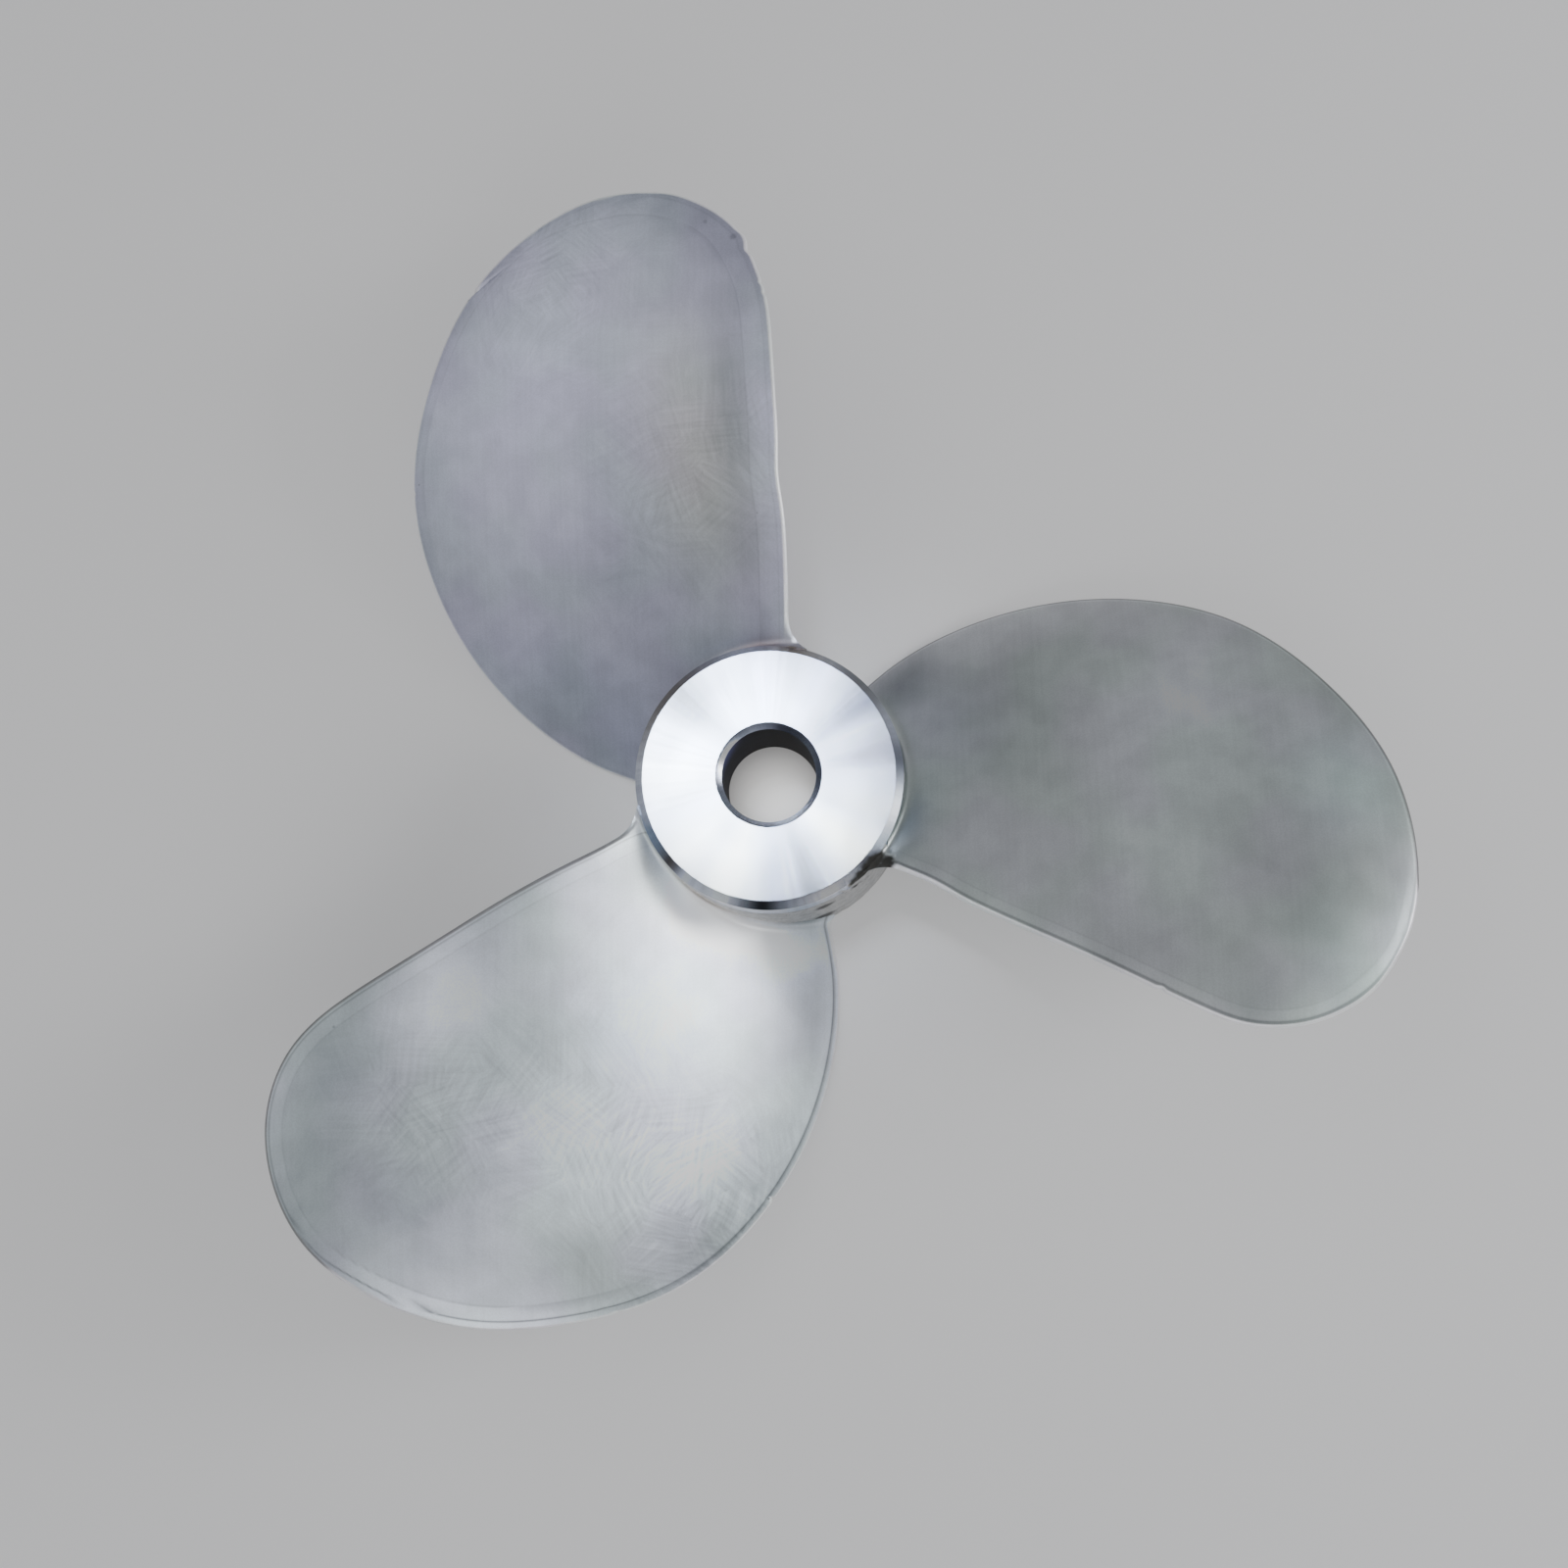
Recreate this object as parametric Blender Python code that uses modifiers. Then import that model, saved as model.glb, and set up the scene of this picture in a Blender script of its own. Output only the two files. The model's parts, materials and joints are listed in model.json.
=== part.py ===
"""Ship propeller: one casting with three left-hand blades on a machined hub.

Lengths are in metres. The shaft axis is Z. The turned front face of the hub looks along +Z, and the
part lies on the hub's rear face. The origin is on the shaft axis at the centre of mass.
"""
import math

import bmesh
import bpy
import numpy as np

# Hub, turned about the shaft axis
FACE_ABOVE_ORIGIN = 0.0128
HUB_LENGTH = 0.0420
HUB_RADIUS = 0.0360
HUB_DRAFT = 0.0012
COLLAR_STEP = 0.0003
COLLAR_LENGTH = 0.0110
FACE_CHAMFER_WIDTH = 0.0014
FACE_CHAMFER_DEPTH = 0.0024
REAR_CHAMFER = 0.0012

# Bore for the shaft, with a wider recess at the rear
BORE_RADIUS = 0.0127
BORE_CHAMFER = 0.0016
BORE_LENGTH = 0.0257
RECESS_RADIUS = 0.0175
RECESS_CHAMFER = 0.0010

# Blades
BLADE_COUNT = 3
TIP_RADIUS = 0.1710
PITCH_AT_HUB = 0.131
PITCH_AT_MIDDLE = 0.227
PITCH_AT_TIP = 0.204
RAKE_AT_HUB = -0.0144
RAKE_AT_MIDDLE = 0.0061
RAKE_AT_TIP = 0.0048
CROWN_RADIUS = 0.232
ROOT_THICKNESS = 0.0066
TIP_THICKNESS = 0.0028
EDGE_THICKNESS = 0.0014
EDGE_BEVEL = 0.0075
WIDEST_BEVEL_SHARE = 0.3
NEAR_FILLET = 0.0068
FAR_FILLET = 0.0036
ROOT_DEPTH = 0.0040
END_CLEARANCE = 0.0005

# Blade edges: share of the span from hub to tip, and degrees about the shaft from the blade's line
NEAR_EDGE = [(0.00, -28.2), (0.12, -26.0), (0.28, -23.8), (0.46, -21.9), (0.64, -20.8), (0.79, -18.7),
             (0.91, -13.9), (0.985, -7.0)]
FAR_EDGE = [(0.00, 62.8), (0.12, 59.4), (0.25, 54.3), (0.39, 47.7), (0.56, 39.9), (0.75, 29.4),
            (0.875, 18.8), (0.96, 9.5)]
TIP = (1.00, -1.5)

# Mesh fineness
HUB_STEPS = 96
SPAN_STEPS = 36
TIP_CLOSENESS = 1.5
CURVE_STEPS = 24
FILLET_SHARES = [0.0, 0.03, 0.10, 0.22, 0.40, 0.66]
FLAT_STEPS = 6
SHARP_ANGLE = math.radians(28.0)

# Finish
ALUMINIUM = (0.62, 0.63, 0.66, 1.0)
ROUGHNESS = 0.38


def front_z():
    return FACE_ABOVE_ORIGIN


def rear_z():
    return FACE_ABOVE_ORIGIN - HUB_LENGTH


def hub_radius(z):
    """Radius of the hub at a height: the turned collar, or the cast side, which widens to the rear."""
    depth = front_z() - z
    if depth <= COLLAR_LENGTH:
        return HUB_RADIUS - COLLAR_STEP
    return HUB_RADIUS + HUB_DRAFT * min(depth / HUB_LENGTH, 1.0)


def span_share(radius):
    return (radius - HUB_RADIUS) / (TIP_RADIUS - HUB_RADIUS)


def through_three(share, at_hub, at_middle, at_tip):
    """Parabola over the span that takes three given values."""
    bend = 2.0 * (at_hub - 2.0 * at_middle + at_tip)
    slope = at_tip - at_hub - bend
    return at_hub + slope * share + bend * share * share


def blade_height(radius, angle):
    """Height of the middle of the blade, angle in radians from the blade's line."""
    share = span_share(radius)
    rake = through_three(share, RAKE_AT_HUB, RAKE_AT_MIDDLE, RAKE_AT_TIP)
    pitch = through_three(share, PITCH_AT_HUB, PITCH_AT_MIDDLE, PITCH_AT_TIP)
    crown = (radius * angle) ** 2 / (2.0 * CROWN_RADIUS)
    return front_z() + rake - pitch * angle / (2.0 * math.pi) - crown


def blade_slope(radius, angle):
    """Rise of the middle of the blade for each metre around the shaft."""
    pitch = through_three(span_share(radius), PITCH_AT_HUB, PITCH_AT_MIDDLE, PITCH_AT_TIP)
    return -pitch / (2.0 * math.pi * radius) - radius * angle / CROWN_RADIUS


def blade_thickness(radius, bevel):
    """Thickness between the bevelled strips, which is less where the strips are cut short."""
    share = min(max(span_share(radius), 0.0), 1.0)
    full = ROOT_THICKNESS + (TIP_THICKNESS - ROOT_THICKNESS) * share
    return EDGE_THICKNESS + (full - EDGE_THICKNESS) * bevel / EDGE_BEVEL


def edge_curve(edge, other_edge):
    """Smooth curve from the hub to the tip, where it runs on into the other edge.

    Gives its points and the length run at each of them.
    """
    knots = []
    for share, degrees in edge + [TIP, other_edge[-1]]:
        radius = HUB_RADIUS + share * (TIP_RADIUS - HUB_RADIUS)
        angle = math.radians(degrees)
        knots.append((radius * math.cos(angle), radius * math.sin(angle)))
    knots = np.array(knots)
    before = 2.0 * knots[0] - knots[1]
    knots = np.vstack([before, knots])
    points = []
    for start in range(len(knots) - 3):
        a, b, c, d = knots[start:start + 4]
        for t in np.linspace(0.0, 1.0, CURVE_STEPS, endpoint=False):
            bend = (2.0 * a - 5.0 * b + 4.0 * c - d) * t ** 2 + (3.0 * b - a - 3.0 * c + d) * t ** 3
            points.append(0.5 * (2.0 * b + (c - a) * t + bend))
    points.append(knots[-2])
    points = np.array(points)
    steps = np.hypot(points[1:, 0] - points[:-1, 0], points[1:, 1] - points[:-1, 1])
    return points, np.concatenate([[0.0], np.cumsum(steps)])


def edge_rows(edge, other_edge):
    """Radius and angle along an edge for each row of the blade, from inside the hub to the tip."""
    points, run = edge_curve(edge, other_edge)
    fillet = max(NEAR_FILLET, FAR_FILLET)
    lengths = [share * fillet for share in FILLET_SHARES]
    for left in np.linspace(1.0, 0.0, SPAN_STEPS):
        lengths.append(run[-1] - (run[-1] - fillet) * left ** TIP_CLOSENESS)
    x = np.interp(lengths, run, points[:, 0])
    y = np.interp(lengths, run, points[:, 1])
    radii = np.hypot(x, y)
    angles = np.arctan2(y, x)
    radii = np.concatenate([[radii[0] - ROOT_DEPTH], radii])
    angles = np.concatenate([[angles[0]], angles])
    return list(zip(radii, angles))


def fillet_reach(distance, fillet):
    """How far a root fillet stands out of the blade at a distance from the hub's side."""
    if distance >= fillet:
        return 0.0
    short = 1.0 - max(distance, 0.0) / fillet
    return fillet * (1.0 - math.sqrt(1.0 - short * short))


def section_point(radius, angle, share, half_thickness, side, outward):
    """Point of a section at a share of its chord, on one side of the blade.

    The root fillet moves it off the blade's side, and outward too where it is on an edge.
    """
    height = blade_height(radius, angle)
    fillet = NEAR_FILLET + (FAR_FILLET - NEAR_FILLET) * share
    reach = fillet_reach(radius - hub_radius(height), fillet)
    slope = blade_slope(radius, angle)
    length = math.hypot(1.0, slope)
    across = np.array([1.0, slope]) / length
    up = np.array([-slope, 1.0]) / length
    grow = side * up + outward * across
    grow *= reach / np.linalg.norm(grow)
    move = side * half_thickness * up + grow
    angle += move[0] / radius
    height = min(max(height + move[1], rear_z() + END_CLEARANCE), height_limit(radius))
    return radius * math.cos(angle), radius * math.sin(angle), height


def height_limit(radius):
    """Cone from the foot of the face's chamfer outward, which keeps the fillets off the face."""
    return front_z() - FACE_CHAMFER_DEPTH + max(radius - HUB_RADIUS, 0.0)


def blade_rings():
    """Ring of points around the blade for each row, and the tip's point last."""
    rows = list(zip(edge_rows(NEAR_EDGE, FAR_EDGE), edge_rows(FAR_EDGE, NEAR_EDGE)))
    rings = []
    for (near_r, near_a), (far_r, far_a) in rows[:-1]:
        chord = 0.5 * (near_r + far_r) * (far_a - near_a)
        bevel = min(EDGE_BEVEL, WIDEST_BEVEL_SHARE * chord)
        first = bevel / chord
        inner = [(share, 0.0) for share in np.linspace(first, 1.0 - first, FLAT_STEPS + 1)]
        front, back = [], []
        for share, outward in [(0.0, -1.0)] + inner + [(1.0, 1.0)]:
            radius = near_r + (far_r - near_r) * share
            angle = near_a + (far_a - near_a) * share
            half = 0.5 * (EDGE_THICKNESS if outward else blade_thickness(radius, bevel))
            front.append(section_point(radius, angle, share, half, 1.0, outward))
            back.append(section_point(radius, angle, share, half, -1.0, outward))
        rings.append(front + back[::-1])
    tip_radius, tip_angle = rows[-1][0]
    return rings, section_point(tip_radius, tip_angle, 0.5, 0.0, 1.0, 0.0)


def blade_mesh(name):
    mesh = bmesh.new()
    outlines, tip_point = blade_rings()
    rings = [[mesh.verts.new(point) for point in ring] for ring in outlines]
    size = len(rings[0])
    for lower, upper in zip(rings, rings[1:]):
        for i in range(size):
            j = (i + 1) % size
            mesh.faces.new((lower[i], lower[j], upper[j], upper[i]))
    mesh.faces.new(rings[0][::-1])
    tip = mesh.verts.new(tip_point)
    for i in range(size):
        mesh.faces.new((rings[-1][i], rings[-1][(i + 1) % size], tip))
    bmesh.ops.triangulate(mesh, faces=mesh.faces[:])
    bmesh.ops.recalc_face_normals(mesh, faces=mesh.faces[:])
    data = bpy.data.meshes.new(name)
    mesh.to_mesh(data)
    mesh.free()
    return data


def hub_profile():
    """Closed outline of the hub in the X-Z half plane, from the bore's mouth outward and round."""
    front = front_z()
    rear = rear_z()
    collar = hub_radius(front)
    side = front - COLLAR_LENGTH
    bore_end = front - BORE_LENGTH
    return [
        (BORE_RADIUS + BORE_CHAMFER, front),
        (collar - FACE_CHAMFER_WIDTH, front),
        (collar, front - FACE_CHAMFER_DEPTH),
        (collar, side),
        (hub_radius(side - COLLAR_STEP), side - COLLAR_STEP),
        (hub_radius(rear + REAR_CHAMFER), rear + REAR_CHAMFER),
        (hub_radius(rear) - REAR_CHAMFER, rear),
        (RECESS_RADIUS + RECESS_CHAMFER, rear),
        (RECESS_RADIUS, rear + RECESS_CHAMFER),
        (RECESS_RADIUS, bore_end),
        (BORE_RADIUS, bore_end),
        (BORE_RADIUS, front - BORE_CHAMFER),
    ]


def turned(name, profile, steps):
    """Closed profile turned about Z with a Screw modifier."""
    mesh = bmesh.new()
    verts = [mesh.verts.new((x, 0.0, z)) for x, z in profile]
    for i in range(len(verts)):
        mesh.edges.new((verts[i], verts[(i + 1) % len(verts)]))
    data = bpy.data.meshes.new(name)
    mesh.to_mesh(data)
    mesh.free()
    part = bpy.data.objects.new(name, data)
    screw = part.modifiers.new("Turn", "SCREW")
    screw.steps = steps
    screw.render_steps = steps
    screw.use_merge_vertices = True
    screw.merge_threshold = 0.00001
    return part


def cast_aluminium():
    material = bpy.data.materials.new("cast_aluminium")
    material.use_nodes = True
    shader = material.node_tree.nodes["Principled BSDF"]
    shader.inputs["Base Color"].default_value = ALUMINIUM
    shader.inputs["Metallic"].default_value = 1.0
    shader.inputs["Roughness"].default_value = ROUGHNESS
    return material


def join_blade(propeller, blade):
    union = propeller.modifiers.new("Join " + blade.name, "BOOLEAN")
    union.operation = "UNION"
    union.solver = "EXACT"
    union.object = blade


def apply_modifiers(part):
    """Turns a part's modifiers into real mesh, shaded smooth but for its sharp edges."""
    graph = bpy.context.evaluated_depsgraph_get()
    mesh = bpy.data.meshes.new_from_object(part.evaluated_get(graph))
    mesh.shade_smooth()
    mesh.set_sharp_from_angle(angle=SHARP_ANGLE)
    part.modifiers.clear()
    part.data = mesh


def build():
    for old in list(bpy.data.objects):
        bpy.data.objects.remove(old)
    parts = bpy.data.collections.new("ship_propeller")
    bpy.context.scene.collection.children.link(parts)
    propeller = turned("propeller", hub_profile(), HUB_STEPS)
    propeller.data.materials.append(cast_aluminium())
    parts.objects.link(propeller)
    shape = blade_mesh("blade")
    blades = [bpy.data.objects.new(f"blade_{index + 1}", shape) for index in range(BLADE_COUNT)]
    for index, blade in enumerate(blades):
        blade.rotation_euler[2] = math.pi / 2.0 + index * 2.0 * math.pi / BLADE_COUNT
        parts.objects.link(blade)
        join_blade(propeller, blade)
    apply_modifiers(propeller)
    for blade in blades:
        bpy.data.objects.remove(blade)


build()
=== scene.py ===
"""Looks of a small-craft ship propeller: one aluminium casting with three blades on a turned hub.

Lengths are in metres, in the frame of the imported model. The shaft axis is Z, the turned face of the hub
looks along +Z, and the line of the first blade is +Y. Places on a blade are a radius and an angle in
degrees from the blade's line. Each blade has a near edge, at the negative angles, and a far edge.
"""
import json
import math

import bpy
import numpy as np
from mathutils import Matrix, Vector, kdtree, noise


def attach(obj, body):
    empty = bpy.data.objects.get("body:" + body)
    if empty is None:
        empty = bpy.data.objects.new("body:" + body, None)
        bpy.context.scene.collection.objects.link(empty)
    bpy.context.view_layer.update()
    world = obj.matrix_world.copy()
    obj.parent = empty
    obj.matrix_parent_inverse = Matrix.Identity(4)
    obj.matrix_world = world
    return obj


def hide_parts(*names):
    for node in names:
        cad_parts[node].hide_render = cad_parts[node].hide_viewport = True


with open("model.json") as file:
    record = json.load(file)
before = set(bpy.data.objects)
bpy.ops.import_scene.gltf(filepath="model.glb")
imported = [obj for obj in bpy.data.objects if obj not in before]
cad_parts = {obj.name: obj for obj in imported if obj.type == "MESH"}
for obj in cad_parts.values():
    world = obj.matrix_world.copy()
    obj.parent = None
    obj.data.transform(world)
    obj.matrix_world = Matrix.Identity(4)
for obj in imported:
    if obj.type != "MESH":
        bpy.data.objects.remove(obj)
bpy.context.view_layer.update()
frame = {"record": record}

MOUNTS = {mount["name"]: Vector(mount["pos_m"]) for mount in frame["record"]["mounts"]}
FACE_Z = MOUNTS["hub_front_face"].z
REAR_Z = MOUNTS["hub_rear_face"].z
HUB_LENGTH = FACE_Z - REAR_Z

# Hub
HUB_RADIUS = 0.0360
HUB_DRAFT = 0.0012
COLLAR_RADIUS = 0.0362
COLLAR_STEP = 0.0003
COLLAR_LENGTH = 0.0110
FACE_RADIUS = 0.0343
FACE_CHAMFER_DEPTH = 0.0024
REAR_CHAMFER = 0.0012
BORE_RADIUS = 0.0127
BORE_CHAMFER = 0.0014
BORE_LENGTH = 0.0257
RECESS_RADIUS = 0.0175
RECESS_CHAMFER = 0.0010
EDGE_BREAK = 0.00025
CAST_GRAIN = 0.00014
GRAIN_SIZES = [(1.0, 0.004), (0.7, 0.0013)]

# Rough patch of casting skin that the turning left on the hub's side
PAD_ANGLES = (-77.0, -53.0)
PAD_DEPTHS = (0.0026, 0.0130)
PAD_FADES = (1.6, 0.0006)
PAD_HEIGHT = 0.0007
PAD_GRAIN = 0.00045

# Ragged ends of the rough patch: degrees, and length of the wave
PAD_RAGS = [(2.0, 0.0009), (1.2, 0.0004)]

# Blades, their pitch and rake given at the hub, the middle and the tip
BLADE_COUNT = 3
TIP_RADIUS = 0.1710
PITCH = (0.131, 0.227, 0.204)
RAKE = (-0.0144, 0.0061, 0.0048)
CROWN_RADIUS = 0.232
ROOT_THICKNESS = 0.0066
TIP_THICKNESS = 0.0028
EDGE_THICKNESS = 0.0014
FRONT_RISE = 0.0006
FRONT_CURVE = 0.026
BACK_CURVE = 0.014
EDGE_FILLETS = (0.0080, 0.0040)
FRONT_FILLETS = [(0.0022, 0.0050), (0.0014, 0.0030), (0.0020, 0.0058)]
BACK_FILLET = 0.0050
ROOT_DEPTH = 0.0040
END_CLEARANCE = 0.0005
WAVINESS = 0.00020
WAVE_LENGTH = 0.045
WAVE_SHIFT = 7.3
FINE_WAVE = (0.4, 2.3)
WAVE_FROM_EDGE = (0.001, 0.012)
WAVE_FROM_HUB = (0.0, 0.015)
STEEPEST_FILLET = 0.97

# Blade edges: share of the span from hub to tip, and degrees from the blade's line
NEAR_EDGE = [(0.00, -28.2), (0.12, -26.0), (0.28, -23.8), (0.46, -21.9), (0.64, -20.8), (0.79, -18.9),
             (0.91, -14.2), (0.985, -7.2)]
FAR_EDGE = [(0.00, 62.8), (0.12, 58.9), (0.25, 53.7), (0.39, 47.7), (0.56, 39.9), (0.75, 29.4),
            (0.875, 18.8), (0.96, 9.5)]
TIP = (1.00, -1.5)

# Share of the chord over which what belongs to the near edge goes over to what belongs to the far one
SIDE_BLEND = (0.3, 0.7)

# Ground strips along the edges, outer then inner: width, drop, softness of the line, tone, tone of the line.
# The tones are mostly painted highlight and shade of the tilted strips, and the line tones are painted shade
# in the creases between strips, or a painted highlight where above one
STRIPS = {
    (0, "near"): [(0.0022, 0.00006, 0.10, 1.06, 0.90), (0.0079, 0.00016, 0.03, 1.08, 0.86)],
    (0, "far"): [(0.0016, 0.00008, 0.20, 1.06, 0.94), (0.0042, 0.00020, 0.12, 1.05, 0.88)],
    (1, "near"): [(0.0014, 0.00008, 0.15, 1.10, 0.62), (0.0050, 0.00020, 0.12, 1.08, 0.88)],
    (1, "far"): [(0.0025, 0.00016, 0.03, 1.34, 0.34), (0.0065, 0.00024, 0.08, 1.20, 0.74)],
    (2, "near"): [(0.0016, 0.00010, 0.08, 0.60, 0.80), (0.0045, 0.00014, 0.15, 1.05, 0.90)],
    (2, "far"): [(0.0012, 0.00012, 0.10, 0.55, 1.40), (0.0030, 0.00010, 0.20, 0.98, 1.00)],
}
STRIP_LINE = 0.00026

# Width and brightness of the line on the very edge, a little burnished wear with a painted highlight, and
# painted shade where the brightness is below one, which fades out next to the hub
RIM_WIDTH = 0.0010
RIM_COLOUR = (1.0, 1.01, 1.03)
RIM_FADE = (0.001, 0.008)
RIMS = {
    (0, "near"): 1.50, (0, "far"): 1.55,
    (1, "near"): 0.45, (1, "far"): 1.50,
    (2, "near"): 1.50, (2, "far"): 0.35,
}

# Hand-ground unevenness and dents of the blade edges: blade, edge, radius, length along the edge, depth
DENTS = [
    (0, "near", 0.0800, 0.0080, 0.0009),
    (0, "near", 0.1390, 0.0090, 0.0010),
    (0, "near", 0.1640, 0.0070, -0.0005),
    (1, "near", 0.0400, 0.0070, -0.0009),
    (1, "near", 0.1350, 0.0200, -0.0006),
    (2, "near", 0.0520, 0.0080, 0.0008),
    (2, "near", 0.1640, 0.0090, -0.0006),
    (2, "near", 0.1360, 0.0080, -0.0003),
    (0, "near", 0.1476, 0.0022, -0.0005),
    (0, "near", 0.1437, 0.0016, 0.0007),
    (0, "near", 0.1330, 0.0006, 0.0004),
    (0, "near", 0.1297, 0.0006, 0.0003),
    (0, "far", 0.1640, 0.0011, 0.0010),
    (0, "far", 0.1362, 0.0006, 0.0003),
    (1, "far", 0.1121, 0.0004, 0.0016),
    (1, "far", 0.1466, 0.0012, 0.0003),
    (2, "near", 0.1158, 0.0010, 0.0005),
]
DENT_REACH = 0.0016

# Tone of each blade, its cast of colour partly a painted reflection of the surroundings that each blade
# faces
BLADE_TONES = [(0.96, 0.99, 1.18), (0.95, 1.03, 1.10), (1.01, 1.06, 1.06)]

# Broad patches of other tone on the fronts, some of them real tint and most of them painted highlights,
# reflections and shade: blade, radius, degrees, sizes outward and across, tone
TINT_AND_LIGHT_PATCHES = [
    (0, 0.085, -8.0, 0.030, 0.014, (0.98, 0.95, 0.80)),
    (0, 0.100, -15.0, 0.030, 0.007, 0.70),
    (0, 0.064, -16.0, 0.013, 0.006, (0.80, 0.77, 0.80)),
    (0, 0.056, 40.0, 0.020, 0.012, (1.00, 1.04, 1.06)),
    (0, 0.112, -10.0, 0.018, 0.013, (0.94, 0.95, 0.91)),
    (0, 0.058, 46.0, 0.016, 0.014, (0.90, 0.89, 0.88)),
    (0, 0.140, 12.0, 0.026, 0.026, (1.10, 1.10, 1.12)),
    (0, 0.088, 43.0, 0.018, 0.016, (1.28, 1.28, 1.30)),
    (0, 0.063, 28.0, 0.016, 0.012, (1.14, 1.14, 1.12)),
    (1, 0.063, 14.0, 0.017, 0.020, (1.40, 1.40, 1.46)),
    (1, 0.078, 13.0, 0.012, 0.014, (1.22, 1.22, 1.32)),
    (1, 0.046, 42.0, 0.008, 0.010, (1.16, 1.16, 1.20)),
    (1, 0.043, -14.0, 0.008, 0.006, (0.74, 0.76, 0.76)),
    (1, 0.098, -14.0, 0.012, 0.008, 1.16),
    (1, 0.106, 8.0, 0.012, 0.012, 1.16),
    (1, 0.111, 9.0, 0.022, 0.024, (1.36, 1.36, 1.38)),
    (1, 0.104, 28.0, 0.016, 0.016, (1.52, 1.52, 1.56)),
    (1, 0.100, -12.0, 0.016, 0.012, 1.34),
    (1, 0.074, 40.0, 0.010, 0.010, (0.74, 0.75, 0.75)),
    (1, 0.048, 46.0, 0.010, 0.010, (1.40, 1.40, 1.42)),
    (1, 0.137, 20.0, 0.012, 0.018, (0.72, 0.72, 0.70)),
    (1, 0.126, 32.0, 0.010, 0.010, (0.80, 0.80, 0.79)),
    (1, 0.146, 0.0, 0.010, 0.014, (0.82, 0.82, 0.84)),
    (1, 0.132, -14.0, 0.018, 0.010, (0.86, 0.88, 0.88)),
    (1, 0.042, 8.0, 0.008, 0.018, (1.55, 1.52, 1.44)),
    (2, 0.054, 28.0, 0.018, 0.022, (0.72, 0.74, 0.75)),
    (2, 0.119, 17.0, 0.026, 0.028, (1.40, 1.41, 1.42)),
    (2, 0.154, 8.0, 0.014, 0.014, (1.30, 1.42, 1.42)),
    (2, 0.130, -9.0, 0.016, 0.010, 1.06),
    (2, 0.104, -5.0, 0.016, 0.015, 1.26),
    (2, 0.154, -9.0, 0.016, 0.018, (0.66, 0.71, 0.71)),
    (2, 0.140, -18.0, 0.016, 0.012, (0.66, 0.68, 0.68)),
    (2, 0.168, -4.0, 0.008, 0.022, (0.66, 0.70, 0.70)),
    (2, 0.162, -14.0, 0.012, 0.012, (0.76, 0.79, 0.79)),
    (2, 0.049, 50.0, 0.012, 0.007, (0.60, 0.61, 0.62)),
    (2, 0.044, 0.0, 0.008, 0.018, (0.90, 0.92, 0.90)),
]

# How much the grinding strokes show all over each blade
STROKE_SHARES = (0.12, 0.12, 0.05)

# Places where they show fully: blade, radius, degrees, size
STROKE_ZONES = [
    (0, 0.088, -8.0, 0.026),
    (0, 0.152, 3.0, 0.022),
    (1, 0.100, 18.0, 0.030),
    (1, 0.120, 28.0, 0.026),
    (1, 0.125, -5.0, 0.020),
]

# Root where dull sanding leaves the metal lighter: degrees from +X, half width, share, reach from the hub
DULL_ROOT = (222.0, 32.0, 1.0, 0.0095)

# Painted shade along the groove round the hub, dark lines with some grime and soft shade beside them, and at
# 220 degrees a painted lightening against the hub's shadow on that blade's root: degrees from +X, half
# width, tone, reach from it
ROOT_SHADES = [
    (115.0, 34.0, (0.30, 0.26, 0.19), 0.0018),
    (220.0, 30.0, (1.50, 1.46, 1.38), 0.0075),
    (74.0, 13.0, (0.58, 0.44, 0.38), 0.0026),
    (118.0, 36.0, (0.88, 0.85, 0.80), 0.0045),
    (-10.0, 22.0, (0.50, 0.50, 0.53), 0.0011),
    (20.0, 30.0, (0.82, 0.82, 0.84), 0.0040),
    (-42.0, 12.0, (0.66, 0.69, 0.69), 0.0060),
    (217.0, 18.0, (0.30, 0.26, 0.23), 0.0008),
    (257.0, 16.0, 0.45, 0.0009),
]

# Stretch of the hub's side beside a blade that takes the same shades
ROOT_MARGIN = 6.0
ROOT_LIMITS = (math.radians(NEAR_EDGE[0][1] - ROOT_MARGIN), math.radians(FAR_EDGE[0][1] + ROOT_MARGIN))

# Black marks in the corners of the hub, partly dirt and partly painted shadow of the corners: distance from
# the axis, degrees from +X, depth below the face, size
MARKS = [
    (0.0386, -56.2, 0.0028, 0.0022),
    (0.0402, -56.8, 0.0020, 0.0014),
    (0.0365, -60.0, 0.0026, 0.0030),
    (0.0365, -57.5, 0.0036, 0.0024),
    (0.0363, -64.0, 0.0026, 0.0026),
    (0.0363, -68.0, 0.0029, 0.0023),
    (0.0363, -72.0, 0.0034, 0.0020),
    (0.0364, -71.0, 0.0105, 0.0018),
    (0.0366, -86.8, 0.0175, 0.0030),
    (0.0371, -88.5, 0.0340, 0.0036),
]

# Painted reflections on the turned face, lighter and darker fans strongest at its edge: degrees from +X,
# half width, tone
FACE_REFLECTION_FANS = [
    (116.0, 15.0, (0.36, 0.36, 0.35)),
    (160.0, 17.0, (1.25, 1.20, 1.08)),
    (203.0, 13.0, (1.50, 1.42, 1.22)),
    (229.0, 10.0, (1.80, 1.68, 1.32)),
    (253.0, 4.0, (0.80, 0.80, 0.88)),
    (264.0, 2.0, (1.20, 1.20, 1.25)),
    (270.0, 9.0, 0.46),
    (298.0, 11.0, (1.80, 1.68, 1.32)),
    (322.0, 8.0, (0.98, 0.95, 0.86)),
    (351.0, 11.0, (0.48, 0.46, 0.49)),
    (17.0, 12.0, (0.31, 0.31, 0.35)),
    (43.0, 8.0, (1.10, 1.09, 1.18)),
    (72.0, 9.0, (1.20, 1.19, 1.28)),
]
FAN_SHARES = (0.45, 1.0)
FAN_RADIUS = 0.8 * FACE_RADIUS
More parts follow.
